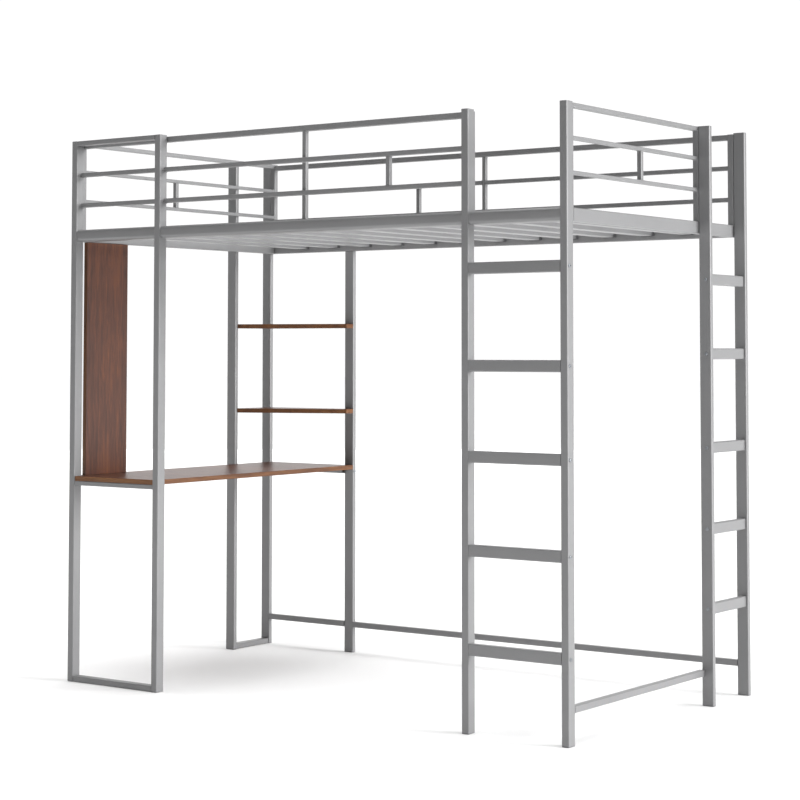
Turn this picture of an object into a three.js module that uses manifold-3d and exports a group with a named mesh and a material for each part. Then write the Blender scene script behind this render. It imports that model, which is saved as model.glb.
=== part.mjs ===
// Loft bed with a desk under one end: a bolted frame of rectangular steel tube with veneered
// boards for the desk top, two shelves and an upright board.
// Millimetres, +Z up. The long side runs along X, with the two ladders at the +X end, and the
// open front faces -Y. The origin is on the floor, under the middle of the whole bed.
import * as THREE from "three";
import { mergeVertices } from "three/addons/utils/BufferGeometryUtils.js";
import Module from "manifold-3d";

const wasm = await Module();
wasm.setup();

// ---------------------------------------------------------------- driving dimensions
const GAP = 0.3; // clearance between two pieces that touch
const WALL = 1.5; // wall of every steel tube

// Mattress deck: the four mattress rails stand round this clear space.
const DECK_LENGTH = 1933;
const DECK_WIDTH = 1010;
const RAIL_THICK = 20; // mattress rails, seen from above
const RAIL_HIGH = 40;
const RAIL_FLOOR = 1486; // underside of the mattress rails
const POST_ABOVE_GUARD = 4; // the posts' tops stand this far over the guards

// Front posts are deeper than wide; the other posts are flat tubes, wide along X.
const FRONT_POST = { x: 25, y: 35 };
const FLAT_POST = { x: 40, y: 18 };
const TUBE_ROUND = 5; // outside corner of the large tubes
const SMALL_ROUND = 3; // outside corner of the small tubes
const SIDE_RAIL_ROUND = 14; // outside corner of the front side rails
const FRONT_POST_OVERHANG = 11; // how far the right front post stands out past the deck
const FRONT_POST_SET_IN = 4; // how far the left front post stands inside the deck's end
const FRONT_POST_BEFORE_BOX = 1; // from the front posts' backs to the front mattress rail

// Bays along the front, measured between posts.
const DESK_BAY = 358.7; // front left post to desk post
const LADDER_BAY = 316; // clear width of the front ladder
const DESK_POST_BEHIND = 11.6; // back desk post, set to the left of the front desk post's right face

// Bays along the two ends.
const MIDDLE_POST_FRONT = 863; // front face of the left middle post, from the front of the bed
const END_LADDER_BAY = 228; // clear width of the end ladder

// Guard rails.
const TOP_RAIL = 20; // square tube
const GUARD_TUBE = 15; // square tube of the other guard rails and the spindles
const GUARD_HIGH = 300; // top of the front and back guards, above the mattress rails
const GUARD_PITCH = 104; // from the top of one of their rails to the next
const END_TOP_RAIL_HIGH = 15; // the end guards reach the posts' tops, with lower rails
const END_RAIL_HIGH = 12;
const END_SECOND_DROP = 96; // from the posts' tops to the top of an end guard's second rail
const END_PITCH = 101; // from there to the top of its third rail
const GUARD_PAST_LADDER_POST = 14; // the front guard's end, from the left face of the ladder's left post
const FRONT_SHORT_SPINDLE = 339; // left side of each short spindle, from the middle of the bed
const BACK_SHORT_SPINDLE = -297.5;
const LEFT_SHORT_SPINDLE = 475; // front side, from the front mattress rail's face
const RIGHT_SHORT_SPINDLE = 420;
const STEP = 0.5; // the top rail stands this far inside the uprights' faces, for its weld
const WELD_IN = 1; // a welded spindle's end reaches this far into the rail's wall
const RAIL_END_STEP = 1; // a guard rail's end stops this far inside the corner it is welded to

// Desk and shelves.
const BOARD = 16; // board thickness
const DESK_TOP = 690;
const DESK_BAR_HIGH = 15;
const DESK_BAR_DEEP = 20;
const DESK_BAR_FORWARD = 12; // back desk bar, in front of the bed's back face, under the desk top
const SHELF_TOPS = [898, 1214];
const SHELF_SET_BACK = 12; // front left corner, from the front face of the left middle post
const SHELF_RIGHT_DEEP = 40; // depth at the narrow right end
const UPRIGHT_BOARD_WIDTH = 198;
const UPRIGHT_BOARD_INSET = 2; // inside the right face of the front left post

// Bars.
const FLOOR_BAR_HIGH = 19;
const TOP_BAR_HIGH = 16;
const DESK_FRAME_SET_IN = 2; // top and floor bars of the desk frame, inside the posts' faces
const LEFT_FRAME_SET_IN = 5; // the left frame's floor bar, inside its posts' faces
const LOW_RAIL = 20; // square tube a hand above the floor
const LOW_RAIL_FLOOR = 92; // its underside
const LOW_BACK_SHIFT = 1; // the low back rails stand this far in front of the back posts
const SIDE_BAR_SET_BACK = 3; // front side rails, from the front faces of the posts
const SIDE_RAIL_BEFORE_BACK = 1; // their backs, in front of the posts' backs
const RUNG = { deep: 20, high: 35 };
const RUNG_SET_BACK = 1;
const FRONT_RUNG_TOPS = [262, 549, 822, 1088, 1374];
const END_RUNG_TOPS = [320, 570, 825, 1122, 1358];
const END_RUNG_SET_BACK = 7; // from the outer faces of the end ladder's posts

// Slats.
const SLATS = 12;
const SLAT = { x: 40, z: 20 };
const SLAT_FLOOR = 14; // above the underside of the mattress rails

// ---------------------------------------------------------------- derived planes
// X planes
const deckLeft = -DECK_LENGTH / 2;
const deckRight = DECK_LENGTH / 2;
const boxLeft = deckLeft - RAIL_THICK; // outer faces of the mattress box
const boxRight = deckRight + RAIL_THICK;
const frontRightPost = boxRight + FRONT_POST_OVERHANG - FRONT_POST.x; // left face
const frontLeftPost = boxLeft + FRONT_POST_SET_IN;
const deskPost = frontLeftPost + FRONT_POST.x + DESK_BAY;
const ladderPost = frontRightPost - LADDER_BAY - FRONT_POST.x;
const leftEndPost = boxLeft - GAP - FLAT_POST.x;
const rightEndPost = boxRight + GAP;
const deskPostRight = deskPost + FRONT_POST.x;
const backDeskPost = deskPostRight - DESK_POST_BEHIND - FLAT_POST.x;

// Y planes: the whole depth is the front posts, the box behind them, and its two rails.
const depth = FRONT_POST.y + FRONT_POST_BEFORE_BOX + RAIL_THICK * 2 + DECK_WIDTH;
const front = -depth / 2;
const back = depth / 2;
const frontPostBack = front + FRONT_POST.y;
const boxFront = frontPostBack + FRONT_POST_BEFORE_BOX;
const boxBack = back;
const middlePost = front + MIDDLE_POST_FRONT;
const backPost = back - FLAT_POST.y;
const endLadderFront = backPost - END_LADDER_BAY - FLAT_POST.y;

// Z planes
const railTop = RAIL_FLOOR + RAIL_HIGH;
const guardTop = railTop + GUARD_HIGH;
const guardSecond = guardTop - GUARD_PITCH;
const guardThird = guardSecond - GUARD_PITCH;
const postTop = guardTop + POST_ABOVE_GUARD; // overall height
const endGuardSecond = postTop - END_SECOND_DROP;
const endGuardThird = endGuardSecond - END_PITCH;
const deskUnder = DESK_TOP - BOARD;

// ---------------------------------------------------------------- materials
const steel = new THREE.MeshStandardMaterial({ color: 0x9b9a99, roughness: 0.45, metalness: 0.55 });
const walnut = new THREE.MeshStandardMaterial({ color: 0x6b4433, roughness: 0.5, metalness: 0 });

const bed = new THREE.Group();

function add(name, geometry, material) {
  const mesh = new THREE.Mesh(geometry, material);
  mesh.name = name;
  bed.add(mesh);
  return mesh;
}

// ---------------------------------------------------------------- shapes
// Rounded rectangle about the origin, as a THREE.Shape or, for a bore, a THREE.Path.
function roundedRectangle(Kind, width, height, radius) {
  const leastFlat = 0.2; // half of the flat that is left on a side at least
  const r = Math.max(0, Math.min(radius, width / 2 - leastFlat, height / 2 - leastFlat));
  const x = width / 2;
  const y = height / 2;
  const path = new Kind();
  path.moveTo(-x + r, -y);
  path.lineTo(x - r, -y);
  path.absarc(x - r, -y + r, r, -Math.PI / 2, 0);
  path.lineTo(x, y - r);
  path.absarc(x - r, y - r, r, 0, Math.PI / 2);
  path.lineTo(-x + r, y);
  path.absarc(-x + r, y - r, r, Math.PI / 2, Math.PI);
  path.lineTo(-x, -y + r);
  path.absarc(-x + r, -y + r, r, Math.PI, Math.PI * 1.5);
  return path;
}

// The two turns, both right-handed, that lay an extrusion along X or along Y.
const alongX = new THREE.Matrix4().set(0, 0, 1, 0, 1, 0, 0, 0, 0, 1, 0, 0, 0, 0, 0, 1);
const alongY = new THREE.Matrix4().set(0, 1, 0, 0, 0, 0, 1, 0, 1, 0, 0, 0, 0, 0, 0, 1);

// A bar between two opposite corners, running along axis "x", "y" or "z".
// With a wall it is a tube, open at both ends.
function barGeometry(axis, low, high, radius, wall) {
  const size = high.map((v, i) => v - low[i]);
  const along = "xyz".indexOf(axis);
  const [across, up] = { x: [1, 2], y: [2, 0], z: [0, 1] }[axis];
  const outline = roundedRectangle(THREE.Shape, size[across], size[up], radius);
  if (wall > 0)
    outline.holes.push(
      roundedRectangle(THREE.Path, size[across] - 2 * wall, size[up] - 2 * wall, radius - wall),
    );
  const geometry = new THREE.ExtrudeGeometry(outline, {
    depth: size[along],
    bevelEnabled: false,
    curveSegments: 1,
  });
  geometry.translate(0, 0, -size[along] / 2);
  if (axis === "x") geometry.applyMatrix4(alongX);
  if (axis === "y") geometry.applyMatrix4(alongY);
  return geometry.translate(...low.map((v, i) => (v + high[i]) / 2));
}

function tube(name, axis, low, high, radius = TUBE_ROUND) {
  return add(name, barGeometry(axis, low, high, radius, WALL), steel);
}

function solidOf(geometry) {
  geometry.deleteAttribute("normal");
  geometry.deleteAttribute("uv");
  const merged = mergeVertices(geometry, 1e-3);
  return new wasm.Manifold(
    new wasm.Mesh({
      numProp: 3,
      vertProperties: merged.attributes.position.array,
      triVerts: new Uint32Array(merged.index.array),
    }),
  );
}

function geometryOf(solid) {
  const mesh = solid.getMesh();
  const geometry = new THREE.BufferGeometry();
  geometry.setAttribute("position", new THREE.BufferAttribute(new Float32Array(mesh.vertProperties), 3));
  geometry.setIndex(new THREE.BufferAttribute(new Uint32Array(mesh.triVerts), 1));
  geometry.computeVertexNormals();
  return geometry;
}

// A welded frame of tubes. Each member is { axis, low, high, open }: its bore runs on into the
// tubes it is welded to, and out of the ends named in open ("low", "high"), as a drain.
function weldedFrame(name, members) {
  const throughWall = WALL * 1.5; // past a closed end, into the next tube's bore
  const throughEnd = 1; // past an open end, into the air
  let outside = null;
  let inside = null;
  for (const { axis, low, high, open = [] } of members) {
    const along = "xyz".indexOf(axis);
    const body = solidOf(barGeometry(axis, low, high, SMALL_ROUND, 0));
    const pastLow = open.includes("low") ? throughEnd : throughWall;
    const pastHigh = open.includes("high") ? throughEnd : throughWall;
    const boreLow = low.map((v, i) => (i === along ? v - pastLow : v + WALL));
    const boreHigh = high.map((v, i) => (i === along ? v + pastHigh : v - WALL));
    const bore = solidOf(barGeometry(axis, boreLow, boreHigh, SMALL_ROUND - WALL, 0));
    outside = outside ? outside.add(body) : body;
    inside = inside ? inside.add(bore) : bore;
  }
  return add(name, geometryOf(outside.subtract(inside)), steel);
}

// ---------------------------------------------------------------- posts
const frontPosts = {
  front_left_post: frontLeftPost,
  front_desk_post: deskPost,
  front_ladder_left_post: ladderPost,
  front_ladder_right_post: frontRightPost,
};
for (const [name, x] of Object.entries(frontPosts))
  tube(name, "z", [x, front, 0], [x + FRONT_POST.x, frontPostBack, postTop]);

const flatPosts = {
  left_middle_post: [leftEndPost, middlePost, postTop],
  back_left_post: [leftEndPost, backPost, postTop],
  back_desk_post: [backDeskPost, backPost, RAIL_FLOOR - GAP],
  end_ladder_front_post: [rightEndPost, endLadderFront, postTop],
  end_ladder_back_post: [rightEndPost, backPost, postTop],
};
for (const [name, [x, y, top]] of Object.entries(flatPosts))
  tube(name, "z", [x, y, 0], [x + FLAT_POST.x, y + FLAT_POST.y, top]);

// ---------------------------------------------------------------- bars of the desk frame
const deskBay = [frontLeftPost + FRONT_POST.x + GAP, deskPost - GAP];
const deskFrameY = [front + DESK_FRAME_SET_IN, frontPostBack - DESK_FRAME_SET_IN];
tube("desk_frame_top_bar", "x", [deskBay[0], deskFrameY[0], postTop - TOP_BAR_HIGH],
  [deskBay[1], deskFrameY[1], postTop]);
tube("desk_frame_floor_bar", "x", [deskBay[0], deskFrameY[0], 0],
  [deskBay[1], deskFrameY[1], FLOOR_BAR_HIGH]);
tube("left_frame_floor_bar", "y",
  [leftEndPost + LEFT_FRAME_SET_IN, middlePost + FLAT_POST.y + GAP, 0],
  [leftEndPost + FLAT_POST.x - LEFT_FRAME_SET_IN, backPost - GAP, FLOOR_BAR_HIGH]);
const deskBarTop = deskUnder - GAP;
tube("front_desk_bar", "x", [deskBay[0], front + SIDE_BAR_SET_BACK, deskBarTop - DESK_BAR_HIGH],
  [deskBay[1], front + SIDE_BAR_SET_BACK + DESK_BAR_DEEP, deskBarTop], SMALL_ROUND);
tube("back_desk_bar", "x",
  [leftEndPost + FLAT_POST.x + GAP, back - DESK_BAR_FORWARD - DESK_BAR_DEEP, deskBarTop - DESK_BAR_HIGH],
  [backDeskPost - GAP, back - DESK_BAR_FORWARD, deskBarTop], SMALL_ROUND);

// ---------------------------------------------------------------- side rails between the front posts
const sideBays = {
  front_side_rail_desk: deskBay,
  front_side_rail_middle: [deskPostRight + GAP, ladderPost - GAP],
  front_side_rail_ladder: [ladderPost + FRONT_POST.x + GAP, frontRightPost - GAP],
};
for (const [name, [x0, x1]] of Object.entries(sideBays))
  tube(name, "x", [x0, front + SIDE_BAR_SET_BACK, RAIL_FLOOR],
    [x1, frontPostBack - SIDE_RAIL_BEFORE_BACK, railTop], SIDE_RAIL_ROUND);

// ---------------------------------------------------------------- mattress rails
tube("front_mattress_rail", "x", [deckLeft + GAP, boxFront, RAIL_FLOOR],
  [deckRight - GAP, boxFront + RAIL_THICK, railTop]);
tube("back_mattress_rail", "x", [deckLeft + GAP, boxBack - RAIL_THICK, RAIL_FLOOR],
  [boxRight, boxBack, railTop]);
const endRail = [boxFront + RAIL_THICK + GAP, boxBack - RAIL_THICK - GAP];
tube("left_mattress_rail", "y", [boxLeft, endRail[0], RAIL_FLOOR], [deckLeft, endRail[1], railTop]);
tube("right_mattress_rail", "y", [deckRight, endRail[0], RAIL_FLOOR], [boxRight, endRail[1], railTop]);

// ---------------------------------------------------------------- guards
const inset = (RAIL_THICK - GUARD_TUBE) / 2; // small tubes lie in the middle of the uprights
const topRailHigh = TOP_RAIL - 2 * STEP;
const alongBedX = (x0, x1, y, thick, top, high, open) => ({
  axis: "x", low: [x0, y, top - high], high: [x1, y + thick, top], open,
});
const alongBedY = (x, set, y0, y1, top, high) => ({
  axis: "y", low: [x + set, y0, top - high], high: [x + RAIL_THICK - set, y1, top],
});
const upright = (x, y, bottom, top) => ({
  axis: "z", low: [x, y, bottom], high: [x + RAIL_THICK, y + RAIL_THICK, top], open: ["low"],
});
const spindle = (x, y, bottom, top, open = []) => ({
  axis: "z", low: [x, y, bottom], high: [x + GUARD_TUBE, y + GUARD_TUBE, top], open,
});
const aboveRail = railTop + GAP;
const secondUnder = guardSecond - GUARD_TUBE;
const thirdUnder = guardThird - GUARD_TUBE;
const topRailUnder = guardTop - STEP - topRailHigh;

// Front guard: the top rail, the upright beside the ladder opening and the long spindle stand
// behind the posts.
const frontGuardRight = ladderPost + GUARD_PAST_LADDER_POST;
weldedFrame("front_guard", [
  alongBedX(deckLeft + GAP, frontGuardRight - RAIL_END_STEP, boxFront + STEP, topRailHigh,
    guardTop - STEP, topRailHigh, ["low"]),
  upright(frontGuardRight - RAIL_THICK, boxFront, aboveRail, guardTop),
  spindle(0, boxFront, aboveRail, topRailUnder + WELD_IN, ["low"]),
]);

// Its lower rails run between the posts and rest against the front of the long spindle.
const lowerRailFront = boxFront - GAP - GUARD_TUBE;
const lowerRailBack = boxFront - GAP;
for (const [name, top] of [["second", guardSecond], ["third", guardThird]])
  tube("front_guard_" + name + "_rail_desk", "x", [deskBay[0], lowerRailFront, top - GUARD_TUBE],
    [deskBay[1], lowerRailBack, top], SMALL_ROUND);
const bothEnds = ["low", "high"];
const [middleLeft, middleRight] = sideBays.front_side_rail_middle;
weldedFrame("front_guard_lower_panel", [
  alongBedX(middleLeft, middleRight, lowerRailFront, GUARD_TUBE, guardSecond, GUARD_TUBE, bothEnds),
  alongBedX(middleLeft, middleRight, lowerRailFront, GUARD_TUBE, guardThird, GUARD_TUBE, bothEnds),
  spindle(FRONT_SHORT_SPINDLE, lowerRailFront, guardThird - WELD_IN, secondUnder + WELD_IN),
]);

// Back guard: the whole length, with the back right corner upright. Each rail carries the
// lengths of spindle that hang from it.
const backGuardY = boxBack - RAIL_THICK;
const backRailEnds = [deckLeft + GAP, deckRight - GAP];
weldedFrame("back_guard", [
  alongBedX(deckLeft + GAP, boxRight - RAIL_END_STEP, backGuardY + STEP, topRailHigh,
    guardTop - STEP, topRailHigh, ["low"]),
  upright(deckRight, backGuardY, aboveRail, guardTop),
  spindle(-GUARD_TUBE / 2, backGuardY + inset, guardSecond + GAP, topRailUnder + WELD_IN, ["low"]),
]);
weldedFrame("back_guard_second_rail", [
  alongBedX(...backRailEnds, backGuardY + inset, GUARD_TUBE, guardSecond, GUARD_TUBE, bothEnds),
  spindle(-GUARD_TUBE / 2, backGuardY + inset, guardThird + GAP, secondUnder + WELD_IN, ["low"]),
  spindle(BACK_SHORT_SPINDLE, backGuardY + inset, guardThird + GAP, secondUnder + WELD_IN, ["low"]),
]);
weldedFrame("back_guard_third_rail", [
  alongBedX(...backRailEnds, backGuardY + inset, GUARD_TUBE, guardThird, GUARD_TUBE, bothEnds),
  spindle(-GUARD_TUBE / 2, backGuardY + inset, aboveRail, thirdUnder + WELD_IN, ["low"]),
]);

// End guards: three rails between two uprights, with one short spindle.
const endGuardRails = (x, y0, y1) => [
  alongBedY(x, STEP, y0, y1, postTop - STEP, END_TOP_RAIL_HIGH - STEP),
  alongBedY(x, inset, y0, y1, endGuardSecond, END_RAIL_HIGH),
  alongBedY(x, inset, y0, y1, endGuardThird, END_RAIL_HIGH),
];
const endSpindle = [endGuardThird - WELD_IN, endGuardSecond - END_RAIL_HIGH + WELD_IN];

// Left guard: both left corner uprights, which run down past the mattress rails.
weldedFrame("left_guard", [
  upright(boxLeft, boxFront, RAIL_FLOOR, postTop),
  upright(boxLeft, backGuardY, RAIL_FLOOR, postTop),
  ...endGuardRails(boxLeft, boxFront + RAIL_END_STEP, boxBack - RAIL_END_STEP),
  spindle(boxLeft + inset, boxFront + LEFT_SHORT_SPINDLE, ...endSpindle),
]);

// Right guard: stops at the end ladder's opening.
const rightGuardBack = endLadderFront + RAIL_THICK;
weldedFrame("right_guard", [
  upright(deckRight, boxFront, RAIL_FLOOR, postTop),
  upright(deckRight, endLadderFront, aboveRail, postTop),
  ...endGuardRails(deckRight, boxFront + RAIL_END_STEP, rightGuardBack - RAIL_END_STEP),
  spindle(deckRight + inset, boxFront + RIGHT_SHORT_SPINDLE, ...endSpindle),
]);

// ---------------------------------------------------------------- slats
const slatPitch = DECK_LENGTH / (SLATS + 1);
for (let i = 1; i <= SLATS; i++) {
  const x = deckLeft + slatPitch * i - SLAT.x / 2;
  tube("slat_" + String(i).padStart(2, "0"), "y", [x, boxFront + RAIL_THICK + GAP, RAIL_FLOOR + SLAT_FLOOR],
    [x + SLAT.x, boxBack - RAIL_THICK - GAP, RAIL_FLOOR + SLAT_FLOOR + SLAT.z], SMALL_ROUND);
}

// ---------------------------------------------------------------- ladders
FRONT_RUNG_TOPS.forEach((top, i) =>
  tube("front_rung_" + (i + 1), "x",
    [ladderPost + FRONT_POST.x + GAP, front + RUNG_SET_BACK, top - RUNG.high],
    [frontRightPost - GAP, front + RUNG_SET_BACK + RUNG.deep, top]),
);
const endRungRight = rightEndPost + FLAT_POST.x - END_RUNG_SET_BACK;
END_RUNG_TOPS.forEach((top, i) =>
  tube("end_rung_" + (i + 1), "y",
    [endRungRight - RUNG.deep, endLadderFront + FLAT_POST.y + GAP, top - RUNG.high],
    [endRungRight, backPost - GAP, top]),
);

// ---------------------------------------------------------------- low rails
const lowRail = [LOW_RAIL_FLOOR, LOW_RAIL_FLOOR + LOW_RAIL];
const lowBackY = [backPost - LOW_BACK_SHIFT, back - LOW_BACK_SHIFT];
tube("low_back_rail_left", "x", [leftEndPost + FLAT_POST.x + GAP, lowBackY[0], lowRail[0]],
  [backDeskPost - GAP, lowBackY[1], lowRail[1]], SMALL_ROUND);
tube("low_back_rail_right", "x", [backDeskPost + FLAT_POST.x + GAP, lowBackY[0], lowRail[0]],
  [rightEndPost - GAP, lowBackY[1], lowRail[1]], SMALL_ROUND);
const lowEndRight = frontRightPost + FRONT_POST.x;
tube("low_end_rail", "y", [lowEndRight - LOW_RAIL, frontPostBack + GAP, lowRail[0]],
  [lowEndRight, endLadderFront - GAP, lowRail[1]], SMALL_ROUND);

// ---------------------------------------------------------------- boards
// A board cut to an outline in plan, lying between two heights.
function flatBoard(name, points, bottom, top) {
  const outline = new THREE.Shape(points.map(([x, y]) => new THREE.Vector2(x, y)));
  const geometry = new THREE.ExtrudeGeometry(outline, { depth: top - bottom, bevelEnabled: false });
  return add(name, geometry.translate(0, 0, bottom), walnut);
}

// The desk top reaches forward between the two front posts, with a notch round each.
const deskLeft = boxLeft + GAP;
const deskRight = backDeskPost + FLAT_POST.x;
const deskNotch = frontPostBack + GAP;
const deskBack = backPost - GAP;
flatBoard("desk_top", [
  [deskBay[0], front + SIDE_BAR_SET_BACK],
  [deskBay[1], front + SIDE_BAR_SET_BACK],
  [deskBay[1], deskNotch],
  [deskRight, deskNotch],
  [deskRight, deskBack],
  [deskLeft, deskBack],
  [deskLeft, deskNotch],
  [deskBay[0], deskNotch],
], deskUnder, DESK_TOP);

// The shelves narrow towards the right: the front edge slants from the left middle post to the
// back desk post.
SHELF_TOPS.forEach((top, i) =>
  flatBoard("shelf_" + (i + 1), [
    [deskLeft, middlePost + SHELF_SET_BACK],
    [deskRight, deskBack - SHELF_RIGHT_DEEP],
    [deskRight, deskBack],
    [deskLeft, deskBack],
  ], top - BOARD, top),
);

const uprightBoardRight = frontLeftPost + FRONT_POST.x - UPRIGHT_BOARD_INSET;
flatBoard("upright_board", [
  [uprightBoardRight - BOARD, boxFront + RAIL_THICK],
  [uprightBoardRight, boxFront + RAIL_THICK],
  [uprightBoardRight, boxFront + RAIL_THICK + UPRIGHT_BOARD_WIDTH],
  [uprightBoardRight - BOARD, boxFront + RAIL_THICK + UPRIGHT_BOARD_WIDTH],
], DESK_TOP + GAP, RAIL_FLOOR - GAP);

export default bed;
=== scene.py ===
# Loft bed with a desk under one end: rectangular steel tube, welded and bolted, in a silver-grey
# powder coat, with walnut-grained boards for the desk top, the two shelves and the upright board.
# Metres, +Z up. The long side runs along X, the open front faces -Y, the ladders are at +X.
import math

import bmesh
import bpy
from mathutils import Matrix, Vector


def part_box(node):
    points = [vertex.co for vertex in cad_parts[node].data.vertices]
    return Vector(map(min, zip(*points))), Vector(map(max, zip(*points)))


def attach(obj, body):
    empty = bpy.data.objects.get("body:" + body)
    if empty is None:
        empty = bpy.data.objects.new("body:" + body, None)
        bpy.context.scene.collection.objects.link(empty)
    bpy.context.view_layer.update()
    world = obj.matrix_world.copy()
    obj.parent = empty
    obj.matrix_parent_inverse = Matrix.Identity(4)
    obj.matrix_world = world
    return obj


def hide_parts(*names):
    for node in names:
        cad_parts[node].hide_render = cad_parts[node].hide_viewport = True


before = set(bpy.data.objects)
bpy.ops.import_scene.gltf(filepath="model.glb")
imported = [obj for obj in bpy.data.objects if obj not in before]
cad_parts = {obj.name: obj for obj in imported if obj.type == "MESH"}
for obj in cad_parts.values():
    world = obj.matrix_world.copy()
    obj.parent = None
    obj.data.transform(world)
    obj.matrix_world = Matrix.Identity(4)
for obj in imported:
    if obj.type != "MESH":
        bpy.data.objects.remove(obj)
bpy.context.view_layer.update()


# ------------------------------------------------------------------ camera, floor and light
# A long lens at chest height, off the front right corner. A plain pale floor runs to the horizon.
# A broad lamp stands off the right end, a faint one behind, and soft light falls from above.
def linear(hex_colour):
    """An sRGB colour such as "8B8B8C" as the linear colour that shaders take."""
    parts = [int(hex_colour[i : i + 2], 16) / 255 for i in (0, 2, 4)]
    return [c / 12.92 if c <= 0.04045 else ((c + 0.055) / 1.055) ** 2.4 for c in parts] + [1]


def add_node(tree, kind, settings=None, links=None):
    """Adds a node. Settings are its own properties or, failing that, its input sockets by name."""
    node = tree.nodes.new(kind)
    for name, value in (settings or {}).items():
        if hasattr(node, name):
            setattr(node, name, value)
        else:
            node.inputs[name].default_value = value
    for name, socket in (links or {}).items():
        tree.links.new(socket, node.inputs[name])
    return node


camera_lens = bpy.data.cameras.new("camera")
camera_lens.lens = 90.16
camera_lens.sensor_width = 36
camera_lens.shift_x = -0.0302
camera_lens.shift_y = -0.1947
camera = bpy.data.objects.new("camera", camera_lens)
camera.location = (3.964, -5.418, 1.115)
camera.rotation_euler = (math.pi / 2 + 0.053, 0, 0.618)
bpy.context.scene.collection.objects.link(camera)
bpy.context.scene.camera = camera

pale_paint = bpy.data.materials.new("matt_white_floor_paint")
pale_paint.use_nodes = True
floor_shader = pale_paint.node_tree.nodes["Principled BSDF"]
floor_shader.inputs["Base Color"].default_value = linear("F2F2F2")
floor_shader.inputs["Roughness"].default_value = 0.9

FLOOR_SIZE = 120
FLOOR_BELOW_FEET = 0.0005
bpy.ops.object.select_all(action="DESELECT")
bpy.ops.mesh.primitive_plane_add(size=FLOOR_SIZE, location=(0, 0, -FLOOR_BELOW_FEET))
floor = bpy.context.object
floor.name = "studio_floor"
floor.data.materials.append(pale_paint)

studio = bpy.data.worlds.new("studio")
studio.use_nodes = True
bpy.context.scene.world = studio
# The backdrop is white to the eye, and gives the bed a little of that as fill light.
FILL = 0.04
BACKDROP = 1.05
ray = add_node(studio.node_tree, "ShaderNodeLightPath")
backdrop = add_node(
    studio.node_tree,
    "ShaderNodeMapRange",
    {"To Min": FILL, "To Max": BACKDROP},
    {"Value": ray.outputs["Is Camera Ray"]},
)
background = studio.node_tree.nodes["Background"]
background.inputs["Color"].default_value = linear("FFFFFF")
studio.node_tree.links.new(backdrop.outputs["Result"], background.inputs["Strength"])
bpy.context.scene.view_settings.view_transform = "Standard"


def add_lamp(name, kind, place, aim, strength, spread):
    """A lamp at a place, turned to an aim. Spread is a panel's side, or a sun's angle."""
    lamp = bpy.data.lights.new(name, kind)
    lamp.energy = strength
    if kind == "AREA":
        lamp.size = spread
    else:
        lamp.angle = spread
    stand = bpy.data.objects.new(name, lamp)
    stand.location = place
    stand.rotation_euler = (Vector(aim) - Vector(place)).to_track_quat("-Z", "Y").to_euler()
    stand.visible_camera = False
    bpy.context.scene.collection.objects.link(stand)


add_lamp("right_panel", "AREA", (24, 6.5, 7), (0, 0, 1), 8300, 12)
add_lamp("back_panel", "AREA", (-9, 13, 2.2), (0, 0, 1), 300, 8)
add_lamp("ceiling_glow", "SUN", (0, 0, 8), (0, 0, 0), 3.65, math.radians(70))


# ------------------------------------------------------------------ posts
# Nine uprights of cold-rolled steel tube with 1.5 mm walls, sawn square and powder coated.
# The powder leaves a faint orange peel, with fine aluminium flake in the grey.
def powder_coat(name, colour):
    material = bpy.data.materials.new(name)
    material.use_nodes = True
    tree = material.node_tree
    shader = tree.nodes["Principled BSDF"]
    # Polyester powder with aluminium flake: part of its surface reflects as metal does.
    shader.inputs["Metallic"].default_value = 0.35
    shader.inputs["IOR"].default_value = 1.5
    shader.inputs["Coat Weight"].default_value = 0.08
    shader.inputs["Coat Roughness"].default_value = 0.3
    place = add_node(tree, "ShaderNodeTexCoord").outputs["Object"]
    # Film thickness drifts along a tube over about 300 mm.
    drift = add_node(
        tree, "ShaderNodeTexNoise", {"Scale": 1 / 0.3, "Detail": 2.0}, {"Vector": place}
    )
    # Flake clusters are about 0.3 mm; they are drawn at 2.5 mm so that they show.
    flake = add_node(
        tree, "ShaderNodeTexNoise", {"Scale": 1 / 0.0025, "Detail": 3.0}, {"Vector": place}
    )
    both = add_node(
        tree,
        "ShaderNodeMix",
        {"data_type": "FLOAT", "Factor": 0.45},
        {"A": drift.outputs["Fac"], "B": flake.outputs["Fac"]},
    )
    tone = add_node(tree, "ShaderNodeValToRGB", links={"Fac": both.outputs["Result"]})
    low, high = tone.color_ramp.elements
    low.position, high.position = 0.3, 0.7
    base = Vector(linear(colour)[:3])
    low.color = (*(base * (1 - TONE_DRIFT)), 1)
    high.color = (*(base * (1 + TONE_DRIFT)), 1)
    rough = add_node(
        tree,
        "ShaderNodeMapRange",
        {"From Min": 0.3, "From Max": 0.7, "To Min": 0.4, "To Max": 0.48},
        {"Value": flake.outputs["Fac"]},
    )
    # Orange peel: waves about 1.5 mm apart, drawn at 3 mm, some hundredths of a millimetre high.
    peel = add_node(
        tree, "ShaderNodeTexNoise", {"Scale": 1 / 0.003, "Detail": 1.0}, {"Vector": place}
    )
    bump = add_node(
        tree,
        "ShaderNodeBump",
        {"Strength": 0.25, "Distance": 0.0001},
        {"Height": peel.outputs["Fac"]},
    )
    tree.links.new(tone.outputs["Color"], shader.inputs["Base Color"])
    tree.links.new(rough.outputs["Result"], shader.inputs["Roughness"])
    tree.links.new(bump.outputs["Normal"], shader.inputs["Normal"])
    return material


TONE_DRIFT = 0.07
silver_powder = powder_coat("silver_grey_powder_coat", "8A8A8B")

X, Y, Z = 0, 1, 2
TUBE_WALL = 0.0015
POST_CORNER = 0.0035
CORNER_STEPS = 4
CAP_HIGH = 0.002
GLIDE_HIGH = 0.003
# How nearly a face must look along an axis, and an edge run along it, to be picked out by it.
FACING = 0.9
PARALLEL = 0.99
SMOOTH_UNDER = math.radians(35)


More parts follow.
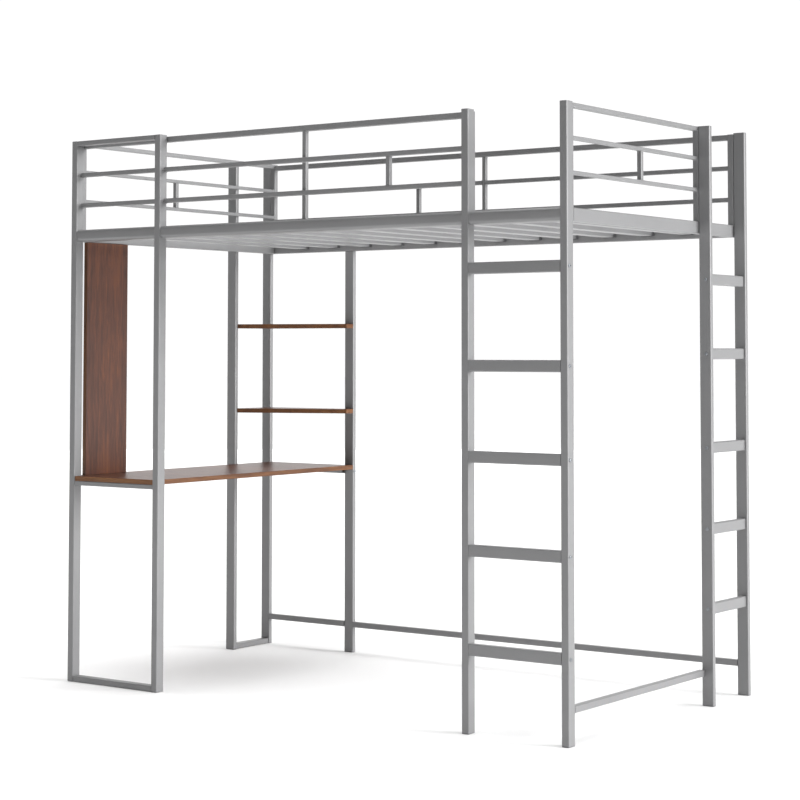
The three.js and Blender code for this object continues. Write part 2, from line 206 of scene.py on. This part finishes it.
def step(along, length):
    """A move of some length along one axis."""
    return Vector([length if i == along else 0 for i in range(3)])


def block(name, low, high):
    """A square-cornered block that fills the box from low to high."""
    bpy.ops.object.select_all(action="DESELECT")
    bpy.ops.mesh.primitive_cube_add(size=1, location=(low + high) / 2, scale=high - low)
    made = bpy.context.object
    made.name = made.data.name = name
    bpy.ops.object.transform_apply(location=True, rotation=True, scale=True)
    return made


def rounded_bar(name, low, high, along, corner):
    """A closed bar that fills the box from low to high, with its four long edges rounded."""
    bar = block(name, Vector(low), Vector(high))
    bpy.ops.object.mode_set(mode="EDIT")
    bpy.ops.mesh.select_mode(type="EDGE")
    bpy.ops.mesh.select_all(action="DESELECT")
    shape = bmesh.from_edit_mesh(bar.data)
    for edge in shape.edges:
        run = edge.verts[1].co - edge.verts[0].co
        edge.select_set(abs(run[along]) > PARALLEL * run.length)
    bmesh.update_edit_mesh(bar.data)
    bpy.ops.mesh.bevel(offset=corner, segments=CORNER_STEPS, affect="EDGES")
    bpy.ops.mesh.select_mode(type="FACE")
    bpy.ops.mesh.select_all(action="DESELECT")
    bpy.ops.object.mode_set(mode="OBJECT")
    return bar


def select_faces(piece, wanted):
    """In edit mode, selects the faces for which wanted(face) is true, and no others."""
    bpy.ops.mesh.select_mode(type="FACE")
    bpy.ops.mesh.select_all(action="DESELECT")
    shape = bmesh.from_edit_mesh(piece.data)
    for face in shape.faces:
        face.select_set(bool(wanted(face)))
    bmesh.update_edit_mesh(piece.data)


def use_modifier(piece, kind, **settings):
    """Adds a modifier to the piece, sets it up and applies it."""
    bpy.context.view_layer.objects.active = piece
    bpy.ops.object.modifier_add(type=kind)
    modifier = piece.modifiers[-1]
    for name, value in settings.items():
        setattr(modifier, name, value)
    bpy.ops.object.modifier_apply(modifier=modifier.name)


def finish_piece(piece, material, slot, *nodes):
    """Shades the piece, coats it, and makes it ride with the bed in place of its CAD nodes."""
    bpy.ops.object.select_all(action="DESELECT")
    piece.select_set(True)
    bpy.context.view_layer.objects.active = piece
    bpy.ops.object.shade_smooth_by_angle(angle=SMOOTH_UNDER)
    use_modifier(piece, "WEIGHTED_NORMAL", keep_sharp=True)
    if not piece.data.materials:
        piece.data.materials.append(material)
    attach(piece, "root")
    if nodes:
        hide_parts(*nodes)


def open_tube(name, low, high, along, corner):
    """A tube with a wall, open at both ends."""
    tube = rounded_bar(name, low, high, along, corner)
    bpy.ops.object.mode_set(mode="EDIT")
    select_faces(tube, lambda face: abs(face.normal[along]) > FACING)
    bpy.ops.mesh.delete(type="FACE")
    bpy.ops.object.mode_set(mode="OBJECT")
    use_modifier(tube, "SOLIDIFY", thickness=TUBE_WALL, offset=-1, use_even_offset=True)
    return tube


FRONT_POSTS = [
    "front_left_post",
    "front_desk_post",
    "front_ladder_left_post",
    "front_ladder_right_post",
]
TALL_FLAT_POSTS = [
    "left_middle_post",
    "back_left_post",
    "end_ladder_front_post",
    "end_ladder_back_post",
]
CAPPED_POSTS = FRONT_POSTS + TALL_FLAT_POSTS
ALL_POSTS = CAPPED_POSTS + ["back_desk_post"]
for node in ALL_POSTS:
    low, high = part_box(node)
    foot = low + step(Z, GLIDE_HIGH)
    top = high - step(Z, CAP_HIGH) if node in CAPPED_POSTS else high
    post = open_tube(f"{node}_tube", foot, top, Z, POST_CORNER)
    finish_piece(post, silver_powder, "steel_paint", node)


# ------------------------------------------------------------------ end caps and foot glides
# Plugs of grey moulded polypropylene, pressed into the tube ends: a cap with an eased rim on
# top of each full-height post, and a glide under each foot. A skirt with a lead-in grips the bore.
def moulded_plastic(name, colour, rough):
    material = bpy.data.materials.new(name)
    material.use_nodes = True
    tree = material.node_tree
    shader = tree.nodes["Principled BSDF"]
    # Spark-eroded mould texture: a fine grain that spreads the highlights.
    shader.inputs["IOR"].default_value = 1.49
    shader.inputs["Base Color"].default_value = linear(colour)
    place = add_node(tree, "ShaderNodeTexCoord").outputs["Object"]
    # The mould's grain is 0.2 mm; it is drawn at 1 mm so that it shows.
    grain = add_node(
        tree, "ShaderNodeTexNoise", {"Scale": 1 / 0.001, "Detail": 2.0}, {"Vector": place}
    )
    sheen = add_node(
        tree,
        "ShaderNodeMapRange",
        {"To Min": rough - SHEEN_SPREAD, "To Max": rough + SHEEN_SPREAD},
        {"Value": grain.outputs["Fac"]},
    )
    bump = add_node(
        tree,
        "ShaderNodeBump",
        {"Strength": 0.3, "Distance": 0.0001},
        {"Height": grain.outputs["Fac"]},
    )
    tree.links.new(sheen.outputs["Result"], shader.inputs["Roughness"])
    tree.links.new(bump.outputs["Normal"], shader.inputs["Normal"])
    return material


SHEEN_SPREAD = 0.06
grey_plastic = moulded_plastic("grey_polypropylene", "7E7E80", 0.5)
SKIRT_STRAIGHT = 0.0112
SKIRT_TAPER = 0.0028
PLUG_WALL = 0.0016
PLUG_LEAD_IN = 0.94
RIM_EASE = 0.0008
RIM_STEPS = 3


def tube_plug(name, low, high, inward):
    """A plug whose flange fills the box, with a skirt that runs inward, +1 up or -1 down."""
    low, high = Vector(low), Vector(high)
    middle = (low + high) / 2
    rim = step(Z, RIM_EASE)
    straight = (low, high - rim) if inward < 0 else (low + rim, high)
    plug = rounded_bar(name, *straight, Z, POST_CORNER)
    bpy.ops.object.mode_set(mode="EDIT")
    select_faces(plug, lambda face: face.normal.z * inward < -FACING)
    drawn_before = reach_before = 0
    for i in range(1, RIM_STEPS + 1):
        turn = math.pi / 2 * i / RIM_STEPS
        reach = RIM_EASE * math.sin(turn)
        drawn = RIM_EASE * (1 - math.cos(turn))
        shrink = [(w - 2 * drawn) / (w - 2 * drawn_before) for w in high - low]
        move = {"value": step(Z, -inward * (reach - reach_before))}
        bpy.ops.mesh.extrude_region_move(TRANSFORM_OT_translate=move)
        bpy.ops.transform.resize(value=(shrink[X], shrink[Y], 1), center_override=middle)
        drawn_before, reach_before = drawn, reach
    select_faces(plug, lambda face: face.normal.z * inward > FACING)
    bpy.ops.mesh.inset(thickness=PLUG_WALL)
    for length in (SKIRT_STRAIGHT, SKIRT_TAPER):
        move = {"value": step(Z, inward * length)}
        bpy.ops.mesh.extrude_region_move(TRANSFORM_OT_translate=move)
    bpy.ops.transform.resize(value=(PLUG_LEAD_IN, PLUG_LEAD_IN, 1), center_override=middle)
    bpy.ops.object.mode_set(mode="OBJECT")
    finish_piece(plug, grey_plastic, "steel_paint")


for node in CAPPED_POSTS:
    low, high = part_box(node)
    tube_plug(f"{node}_cap", (low.x, low.y, high.z - CAP_HIGH), high, -1)
for node in ALL_POSTS:
    low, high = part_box(node)
    tube_plug(f"{node}_glide", low, (high.x, high.y, low.z + GLIDE_HIGH), 1)


# ------------------------------------------------------------------ bars welded between posts
# The desk frame's top, floor and desk bars and the left frame's floor bar are tube, cut to
# length and welded between their posts, with a small fillet down both sides of each end.
SMALL_CORNER = 0.002
WELD_LEG = 0.0015
WELD_STEPS = 4
WELD_BITE = 0.0003
# Only a bar's own end faces look this nearly along it: a finished fillet's last faces don't.
SQUARE_ON = 0.999
BOTH_ENDS = (-1, 1)


def weld_end(bar, low, high, along, side, flat=None):
    """Draws out one end, side +1 or -1, as a fillet of weld. It doesn't spread along flat."""
    middle = (low + high) / 2
    width = high - low
    bpy.ops.object.mode_set(mode="EDIT")
    select_faces(bar, lambda face: face.normal[along] * side > SQUARE_ON)
    spread_before = reach_before = 0
    for i in range(1, WELD_STEPS + 1):
        turn = math.pi / 2 * i / WELD_STEPS
        reach = WELD_LEG * math.sin(turn)
        spread = WELD_LEG * (1 - math.cos(turn))
        growth = [(w + 2 * spread) / (w + 2 * spread_before) for w in width]
        for axis in (along, flat):
            if axis is not None:
                growth[axis] = 1
        move = {"value": step(along, side * (reach - reach_before))}
        bpy.ops.mesh.extrude_region_move(TRANSFORM_OT_translate=move)
        bpy.ops.transform.resize(value=growth, center_override=middle)
        spread_before, reach_before = spread, reach
    bite = {"value": step(along, side * WELD_BITE)}
    bpy.ops.mesh.extrude_region_move(TRANSFORM_OT_translate=bite)
    bpy.ops.object.mode_set(mode="OBJECT")


def welded_bar(name, low, high, along, corner, welds=BOTH_ENDS, flat=None):
    """A bar that fills the box from low to high, welded at the ends given in welds."""
    low, high = Vector(low), Vector(high)
    cut_low = low + step(along, WELD_LEG if -1 in welds else 0)
    cut_high = high - step(along, WELD_LEG if 1 in welds else 0)
    bar = rounded_bar(name, cut_low, cut_high, along, corner)
    for side in welds:
        weld_end(bar, low, high, along, side, flat)
    return bar


for node, along in {
    "desk_frame_top_bar": X,
    "desk_frame_floor_bar": X,
    "left_frame_floor_bar": Y,
    "front_desk_bar": X,
}.items():
    bar = welded_bar(f"{node}_tube", *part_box(node), along, SMALL_CORNER, flat=Z)
    finish_piece(bar, silver_powder, "steel_paint", node)


# ------------------------------------------------------------------ side rails and mattress rails
# Open lengths of tube bolted between the posts: soft-cornered ones show along the front, and
# the four flat-sided ones behind and around carry the slats. The low rails brace the feet.
SIDE_RAIL_CORNER = 0.011
for bay in ("desk", "middle", "ladder"):
    node = f"front_side_rail_{bay}"
    rail = open_tube(f"{node}_tube", *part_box(node), X, SIDE_RAIL_CORNER)
    finish_piece(rail, silver_powder, "steel_paint", node)

for node, along, corner in [
    ("front_mattress_rail", X, POST_CORNER),
    ("back_mattress_rail", X, POST_CORNER),
    ("left_mattress_rail", Y, POST_CORNER),
    ("right_mattress_rail", Y, POST_CORNER),
    ("back_desk_bar", X, SMALL_CORNER),
    ("low_back_rail_left", X, SMALL_CORNER),
    ("low_back_rail_right", X, SMALL_CORNER),
    ("low_end_rail", Y, SMALL_CORNER),
]:
    rail = open_tube(f"{node}_tube", *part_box(node), along, corner)
    finish_piece(rail, silver_powder, "steel_paint", node)


# ------------------------------------------------------------------ slats and their holders
# Twelve steel slats lie across the deck. Each end sits in a moulded pocket that is riveted to
# the mattress rail, so that the slats can't rattle on the steel.
SLAT_CORNER = 0.003
HOLDER_BACK = 0.002
HOLDER_WALL = 0.0015
HOLDER_SLACK = 0.0002
HOLDER_LONG = 0.013

# The pockets are partly their own plastic and partly painted shade: their dark grey, darker than
# the caps' grey, stands in for the shadow where each slat's end meets the mattress rail.
slat_holder_shade_plastic = moulded_plastic("dark_grey_shade_polypropylene", "5E5E60", 0.55)


def slat_holder(name, low, high, side):
    """A pocket round one end of a slat: the box is the holder's, and side is where it opens."""
    holder = rounded_bar(name, low, high, Y, SLAT_CORNER)
    bpy.ops.object.mode_set(mode="EDIT")
    select_faces(holder, lambda face: face.normal.y * side > FACING)
    bpy.ops.mesh.inset(thickness=HOLDER_WALL)
    floor_move = {"value": step(Y, -side * (HOLDER_LONG - HOLDER_BACK))}
    bpy.ops.mesh.extrude_region_move(TRANSFORM_OT_translate=floor_move)
    bpy.ops.object.mode_set(mode="OBJECT")
    finish_piece(holder, slat_holder_shade_plastic, "steel_paint")


around = Vector((1, 0, 1)) * (HOLDER_WALL + HOLDER_SLACK)
set_in = step(Y, HOLDER_BACK)
for node in sorted(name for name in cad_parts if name.startswith("slat_")):
    low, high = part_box(node)
    slat = open_tube(f"{node}_tube", low + set_in, high - set_in, Y, SLAT_CORNER)
    finish_piece(slat, silver_powder, "steel_paint", node)
    front_end = Vector((high.x, low.y + HOLDER_LONG, high.z))
    back_end = Vector((low.x, high.y - HOLDER_LONG, low.z))
    slat_holder(f"{node}_front_holder", low - around, front_end + around, 1)
    slat_holder(f"{node}_back_holder", back_end - around, high + around, -1)


# ------------------------------------------------------------------ guards
# Panels of small square tube round the mattress, welded up in a jig and coated whole. Their
# uprights stand on the mattress rails, or run down past them at three corners. The front guard's
# lower rails run between the posts, and two short ones close the desk bay.
UPRIGHT = 0.020
GUARD_TUBE = 0.015
TOP_RAIL_SET_IN = 0.0005
FRONT_LONG_SPINDLE = 0.0
FRONT_SHORT_SPINDLE = 0.339
BACK_SHORT_SPINDLE = -0.2975
END_TOP_RAIL = 0.0145
END_RAIL = 0.012
END_SECOND_DROP = 0.096
END_PITCH = 0.101
LEFT_SHORT_SPINDLE = 0.475
RIGHT_SHORT_SPINDLE = 0.420


def stand(node, x, y, foot, top, thick=UPRIGHT, welds=()):
    """An upright member of a guard, with its front left foot at x, y."""
    low, high = (x, y, foot), (x + thick, y + thick, top)
    return welded_bar(f"{node}_stem", low, high, Z, SMALL_CORNER, welds)


def spindle(node, x, y, foot, top):
    """A thin upright, welded between two rails."""
    return stand(node, x, y, foot, top, GUARD_TUBE, BOTH_ENDS)


def join_panel(node, members, *nodes):
    """Makes one welded panel of its members, in place of the CAD nodes."""
    bpy.ops.object.select_all(action="DESELECT")
    for part in members:
        part.select_set(True)
    bpy.context.view_layer.objects.active = members[0]
    bpy.ops.object.join()
    panel = bpy.context.object
    panel.name = panel.data.name = f"{node}_panel"
    finish_piece(panel, silver_powder, "steel_paint", *nodes)


def rail_x(node, x0, x1, y, top):
    """A lower rail of a guard that runs along the bed."""
    low, high = (x0, y, top - GUARD_TUBE), (x1, y + GUARD_TUBE, top)
    return welded_bar(f"{node}_rail", low, high, X, SMALL_CORNER)


def top_rail_x(node, low, high):
    """The top rail of a guard along the bed, just inside the faces of its upright."""
    thin = UPRIGHT - 2 * TOP_RAIL_SET_IN
    front, top = low.y + TOP_RAIL_SET_IN, high.z - TOP_RAIL_SET_IN
    start, end = (low.x, front, top - thin), (high.x - UPRIGHT, front + thin, top)
    return welded_bar(f"{node}_rail", start, end, X, SMALL_CORNER, ())


rails_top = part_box("back_mattress_rail")[1].z
low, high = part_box("front_guard")
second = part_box("front_guard_lower_panel")[1].z
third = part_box("front_guard_third_rail_desk")[1].z
second_under = second - GUARD_TUBE
top_rail_under = high.z - UPRIGHT + TOP_RAIL_SET_IN

# Front guard: the lower rails run in front of its long spindle.
members = [
    stand("front_guard", high.x - UPRIGHT, low.y, low.z, high.z),
    top_rail_x("front_guard", low, high),
    spindle("front_guard", FRONT_LONG_SPINDLE, low.y, low.z, top_rail_under),
]
join_panel("front_guard", members, "front_guard")
low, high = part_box("front_guard_lower_panel")
members = [
    rail_x("lower_panel", low.x, high.x, low.y, second),
    rail_x("lower_panel", low.x, high.x, low.y, third),
    spindle("lower_panel", FRONT_SHORT_SPINDLE, low.y, third, second_under),
]
join_panel("front_guard_lower", members, "front_guard_lower_panel")
for node in ("front_guard_second_rail_desk", "front_guard_third_rail_desk"):
    rail = welded_bar(f"{node}_tube", *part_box(node), X, SMALL_CORNER)
    finish_piece(rail, silver_powder, "steel_paint", node)

# Back guard: one long spindle through all three rails, and a short one to the left of it.
low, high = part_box("back_guard")
rails_left, rails_front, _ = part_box("back_guard_second_rail")[0]
BACK_LONG_SPINDLE = -GUARD_TUBE / 2
rail_ends = [rails_left, BACK_LONG_SPINDLE, GUARD_TUBE / 2, high.x - UPRIGHT]
members = [
    stand("back_guard", high.x - UPRIGHT, low.y, rails_top, high.z),
    top_rail_x("back_guard", low, high),
    spindle("back_guard", BACK_LONG_SPINDLE, rails_front, rails_top, top_rail_under),
    spindle("back_guard", BACK_SHORT_SPINDLE, rails_front, third, second_under),
]
for top in (second, third):
    for start, end in (rail_ends[:2], rail_ends[2:]):
        members.append(rail_x("back_guard", start, end, rails_front, top))
join_panel("back_guard", members, "back_guard", "back_guard_second_rail", "back_guard_third_rail")


def end_guard(node, front_foot, back_foot, short_spindle):
    """An end guard: three rails between two uprights, and one short spindle."""
    low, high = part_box(node)
    inset = (UPRIGHT - GUARD_TUBE) / 2
    members = [
        stand(node, low.x, low.y, front_foot, high.z),
        stand(node, low.x, high.y - UPRIGHT, back_foot, high.z),
    ]
    second_top = high.z - END_SECOND_DROP
    third_top = second_top - END_PITCH
    for set_in, top, tall in [
        (TOP_RAIL_SET_IN, high.z - TOP_RAIL_SET_IN, END_TOP_RAIL),
        (inset, second_top, END_RAIL),
        (inset, third_top, END_RAIL),
    ]:
        start = (low.x + set_in, low.y + UPRIGHT, top - tall)
        end = (high.x - set_in, high.y - UPRIGHT, top)
        welds = () if top > second_top else BOTH_ENDS
        members.append(welded_bar(f"{node}_rail", start, end, Y, SMALL_CORNER, welds))
    place = low.y + short_spindle
    members.append(spindle(node, low.x + inset, place, third_top, second_top - END_RAIL))
    join_panel(node, members, node)


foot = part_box("left_guard")[0].z
end_guard("left_guard", foot, foot, LEFT_SHORT_SPINDLE)
end_guard("right_guard", foot, rails_top, RIGHT_SHORT_SPINDLE)


# ------------------------------------------------------------------ ladder rungs
# Ten rungs of 20 x 35 mm tube, five in each ladder, bolted through the posts at both ends.
LADDER_RUNGS = 5
front_rungs = [f"front_rung_{i + 1}" for i in range(LADDER_RUNGS)]
end_rungs = [f"end_rung_{i + 1}" for i in range(LADDER_RUNGS)]
for rungs, along in ((front_rungs, X), (end_rungs, Y)):
    for node in rungs:
        rung = open_tube(f"{node}_tube", *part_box(node), along, POST_CORNER)
        finish_piece(rung, silver_powder, "steel_paint", node)


# ------------------------------------------------------------------ boards
# Desk top, two shelves and the upright board: 16 mm particle board faced with walnut-grained
# melamine, cut square, with 1 mm edging tape glued round and trimmed to a small radius.
def walnut_melamine(name, grain_along, shift, tones):
    material = bpy.data.materials.new(name)
    material.use_nodes = True
    tree = material.node_tree
    shader = tree.nodes["Principled BSDF"]
    # Melamine film pressed on a fine-grained plate: a hard, even, low satin sheen.
    shader.inputs["IOR"].default_value = 1.5
    place = add_node(tree, "ShaderNodeTexCoord").outputs["Object"]
    # Growth rings are about 14 mm apart and the figure repeats over about half a metre.
    stretch = [1.0, 1.0, 1.0]
    stretch[grain_along] = FIGURE_STRETCH
    plank = add_node(
        tree, "ShaderNodeMapping", {"Location": shift, "Scale": stretch}, {"Vector": place}
    )
    bend = add_node(
        tree,
        "ShaderNodeTexNoise",
        {"Scale": 1 / 0.09, "Detail": 3.0, "Roughness": 0.55},
        {"Vector": plank.outputs["Vector"]},
    )
    lines = add_node(
        tree,
        "ShaderNodeTexNoise",
        {"Scale": 1 / 0.012, "Detail": 5.0, "Roughness": 0.65, "Distortion": 0.6},
        {"Vector": plank.outputs["Vector"]},
    )
    # Pores are 0.2 mm wide and some 10 mm long; they are drawn 1.5 mm wide so that they show.
    thread = [1.0, 1.0, 1.0]
    thread[grain_along] = PORE_STRETCH
    fibre = add_node(
        tree, "ShaderNodeMapping", {"Location": shift, "Scale": thread}, {"Vector": place}
    )
    pores = add_node(
        tree,
        "ShaderNodeTexNoise",
        {"Scale": 1 / 0.0015, "Detail": 2.0, "Roughness": 0.7},
        {"Vector": fibre.outputs["Vector"]},
    )
    figure = add_node(
        tree,
        "ShaderNodeMix",
        {"data_type": "FLOAT", "Factor": 0.55},
        {"A": bend.outputs["Fac"], "B": lines.outputs["Fac"]},
    )
    wood = add_node(
        tree,
        "ShaderNodeMix",
        {"data_type": "FLOAT", "Factor": 0.28},
        {"A": figure.outputs["Result"], "B": pores.outputs["Fac"]},
    )
    ramp = add_node(tree, "ShaderNodeValToRGB", links={"Fac": wood.outputs["Result"]})
    first, last = ramp.color_ramp.elements
    first.position, first.color = DARKEST_AT, linear(tones[0])
    last.position, last.color = DARKEST_AT + TONE_SPAN, linear(tones[-1])
    for i, tone in enumerate(tones[1:-1], start=1):
        stop = ramp.color_ramp.elements.new(DARKEST_AT + TONE_SPAN * i / (len(tones) - 1))
        stop.color = linear(tone)
    rough = add_node(
        tree,
        "ShaderNodeMapRange",
        {"From Min": 0.3, "From Max": 0.7, "To Min": 0.42, "To Max": 0.32},
        {"Value": pores.outputs["Fac"]},
    )
    bump = add_node(
        tree,
        "ShaderNodeBump",
        {"Strength": 0.35, "Distance": 0.0002},
        {"Height": pores.outputs["Fac"]},
    )
    tree.links.new(ramp.outputs["Color"], shader.inputs["Base Color"])
    tree.links.new(rough.outputs["Result"], shader.inputs["Roughness"])
    tree.links.new(bump.outputs["Normal"], shader.inputs["Normal"])
    return material


WALNUT_TONES = ["291510", "432519", "553020", "693B21", "7F4B26"]
TAPE_TONES = ["452713", "613919", "744A24", "86582C"]
FIGURE_STRETCH = 0.07
PORE_STRETCH = 0.03
DARKEST_AT = 0.36
TONE_SPAN = 0.3
TAPE_EASE = 0.0008
TAPE_STEPS = 3
BOARD_GAP = 0.0003
OVERCUT = 0.01
SHELF_RIGHT_DEEP = 0.040
# Faces that look more than this along a board's thickness are its melamine faces.
BROAD_FACE = 0.7
walnut_face_z = walnut_melamine("walnut_melamine_upright", Z, (0.31, 0.12, 0.4), WALNUT_TONES)
walnut_face_x = walnut_melamine("walnut_melamine_lengthwise", X, (0.2, 0.71, 0.05), WALNUT_TONES)
walnut_tape_x = walnut_melamine("walnut_edging_lengthwise", X, (0.6, 0.33, 0.9), TAPE_TONES)
walnut_tape_y = walnut_melamine("walnut_edging_crosswise", Y, (0.1, 0.5, 0.7), TAPE_TONES)
walnut_tape_z = walnut_melamine("walnut_edging_upright", Z, (0.4, 0.2, 0.3), TAPE_TONES)


def cut_out(piece, cutter):
    """Cuts the cutter's shape out of the piece and removes the cutter."""
    use_modifier(piece, "BOOLEAN", operation="DIFFERENCE", solver="EXACT", object=cutter)
    bpy.data.objects.remove(cutter)


def cut_in_front(piece, start, end):
    """Cuts off what lies in front of the line from start to end, seen from above."""
    run = end - start
    angle = math.atan2(run.y, run.x)
    outwards = Vector((math.sin(angle), -math.cos(angle), 0))
    bpy.ops.object.select_all(action="DESELECT")
    bpy.ops.mesh.primitive_cube_add(
        size=1,
        location=(start + end) / 2 + outwards * run.length / 2,
        rotation=(0, 0, angle),
        scale=(run.length * 2, run.length, run.length),
    )
    cutter = bpy.context.object
    bpy.ops.object.transform_apply(location=True, rotation=True, scale=True)
    cut_out(piece, cutter)


def edged_board(name, node, thin, face_wood, notches=(), slant=None):
    """A board in its node's box, thin along one axis, with eased and taped edges."""
    board = block(name, *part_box(node))
    for notch in notches:
        cut_out(board, block("notch", *notch))
    if slant:
        cut_in_front(board, *slant)
    use_modifier(board, "BEVEL", width=TAPE_EASE, segments=TAPE_STEPS, limit_method="ANGLE")
    tapes = {X: walnut_tape_x, Y: walnut_tape_y, Z: walnut_tape_z}
    first_way, second_way = [axis for axis in (X, Y, Z) if axis != thin]
    for wood in (face_wood, tapes[first_way], tapes[second_way]):
        board.data.materials.append(wood)
    for face in board.data.polygons:
        looks = [abs(part) for part in face.normal]
        if looks[thin] > BROAD_FACE:
            face.material_index = 0
        else:
            face.material_index = 1 if looks[second_way] > looks[first_way] else 2
    finish_piece(board, face_wood, "walnut_board", node)


low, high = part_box("desk_top")
left_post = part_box("front_left_post")
desk_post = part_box("front_desk_post")
notch_back = left_post[1].y + BOARD_GAP
left_notch = (
    low - Vector((OVERCUT,) * 3),
    Vector((left_post[1].x + BOARD_GAP, notch_back, high.z + OVERCUT)),
)
right_notch = (
    Vector((desk_post[0].x - BOARD_GAP, low.y - OVERCUT, low.z - OVERCUT)),
    Vector((high.x + OVERCUT, notch_back, high.z + OVERCUT)),
)
edged_board("desk_top_board", "desk_top", Z, walnut_face_x, [left_notch, right_notch])
for name, node in {"lower_shelf_board": "shelf_1", "upper_shelf_board": "shelf_2"}.items():
    low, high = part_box(node)
    slant_end = Vector((high.x, high.y - SHELF_RIGHT_DEEP, low.z))
    edged_board(name, node, Z, walnut_face_x, slant=(low, slant_end))
edged_board("upright_desk_board", "upright_board", X, walnut_face_z)


# ------------------------------------------------------------------ bolts
# M6 bolts with button heads and hexagon sockets, zinc plated. They pass through a post into a
# rung or a bar; their heads stand on the post's face.
def zinc_plate(name):
    material = bpy.data.materials.new(name)
    material.use_nodes = True
    tree = material.node_tree
    shader = tree.nodes["Principled BSDF"]
    # Bright zinc with a blue passivation: a soft metal sheen with slight clouding.
    shader.inputs["Metallic"].default_value = 1.0
    place = add_node(tree, "ShaderNodeTexCoord").outputs["Object"]
    # The clouds are about 4 mm across.
    clouds = add_node(
        tree, "ShaderNodeTexNoise", {"Scale": 1 / 0.004, "Detail": 2.0}, {"Vector": place}
    )
    tone = add_node(tree, "ShaderNodeValToRGB", links={"Fac": clouds.outputs["Fac"]})
    low, high = tone.color_ramp.elements
    low.position, low.color = 0.3, linear("8C9096")
    high.position, high.color = 0.7, linear("A9ACB0")
    rough = add_node(
        tree,
        "ShaderNodeMapRange",
        {"To Min": 0.28, "To Max": 0.42},
        {"Value": clouds.outputs["Fac"]},
    )
    tree.links.new(tone.outputs["Color"], shader.inputs["Base Color"])
    tree.links.new(rough.outputs["Result"], shader.inputs["Roughness"])
    return material


bright_zinc = zinc_plate("blue_passivated_zinc")
HEAD_RADIUS = 0.00525
HEAD_HIGH = 0.0033
HEAD_DOME = 0.0022
DOME_STEPS = 5
SHANK_RADIUS = 0.003
SHANK_LONG = 0.012
SHANK_INSET = 0.0001
SOCKET_ACROSS = 0.004
SOCKET_DEEP = 0.002
HEAD_SIDES = 32
SOCKET_SIDES = 6


def rod(sides, radius, depth, middle):
    """A round or many-sided rod that stands along Z, with its middle at that height."""
    bpy.ops.object.select_all(action="DESELECT")
    bpy.ops.mesh.primitive_cylinder_add(
        vertices=sides, radius=radius, depth=depth, location=(0, 0, middle)
    )
    made = bpy.context.object
    bpy.ops.object.transform_apply(location=True, rotation=True, scale=True)
    return made


# The head is domed, its shank is drawn out of its underside, and its socket is cut last.
button_bolt = rod(HEAD_SIDES, HEAD_RADIUS, HEAD_HIGH, HEAD_HIGH / 2)
bpy.ops.object.mode_set(mode="EDIT")
select_faces(button_bolt, lambda face: face.normal.z > FACING)
bpy.ops.mesh.bevel(offset=HEAD_DOME, segments=DOME_STEPS, affect="EDGES")
select_faces(button_bolt, lambda face: face.normal.z < -FACING)
bpy.ops.mesh.inset(thickness=SHANK_INSET)
ratio = SHANK_RADIUS / (HEAD_RADIUS - SHANK_INSET)
bpy.ops.transform.resize(value=(ratio, ratio, 1), center_override=(0, 0, 0))
bpy.ops.mesh.extrude_region_move(TRANSFORM_OT_translate={"value": step(Z, -SHANK_LONG)})
bpy.ops.object.mode_set(mode="OBJECT")
socket_radius = SOCKET_ACROSS / math.sqrt(3)
cut_out(button_bolt, rod(SOCKET_SIDES, socket_radius, SOCKET_DEEP * 2, HEAD_HIGH))


def turned(facing, at):
    """The move that takes something standing on the origin to a place, facing outwards there."""
    turn = Vector((0, 0, 1)).rotation_difference(Vector(facing))
    return Matrix.Translation(at) @ turn.to_matrix().to_4x4()


def fit_bolts(name, facing, places):
    """A set of bolts, all facing the same way, at their places."""
    bpy.ops.object.select_all(action="DESELECT")
    for place in places:
        bolt = button_bolt.copy()
        bolt.data = button_bolt.data.copy()
        bolt.data.transform(turned(facing, place))
        bpy.context.scene.collection.objects.link(bolt)
        bolt.select_set(True)
        bpy.context.view_layer.objects.active = bolt
    bpy.ops.object.join()
    bolts = bpy.context.object
    bolts.name = bolts.data.name = name
    finish_piece(bolts, bright_zinc, "steel_paint")


def middle_of(node):
    low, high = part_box(node)
    return (low + high) / 2


rung_y = middle_of("front_rung_1").y
rung_heights = [middle_of(node).z for node in front_rungs]
for post, side, facing in [
    ("front_ladder_right_post", 1, (1, 0, 0)),
    ("front_ladder_left_post", 0, (-1, 0, 0)),
]:
    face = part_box(post)[side].x
    fit_bolts(f"{post}_bolts", facing, [(face, rung_y, z) for z in rung_heights])
end_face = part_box("end_ladder_front_post")[0].y
end_rung_x = middle_of("end_rung_1").x
end_places = [(end_rung_x, end_face, middle_of(node).z) for node in end_rungs]
fit_bolts("end_ladder_front_bolts", (0, -1, 0), end_places)
desk_bolt = (
    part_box("back_desk_post")[1].x,
    middle_of("back_desk_post").y,
    middle_of("back_desk_bar").z,
)
fit_bolts("back_desk_bolt", (1, 0, 0), [desk_bolt])
bpy.data.objects.remove(button_bolt)
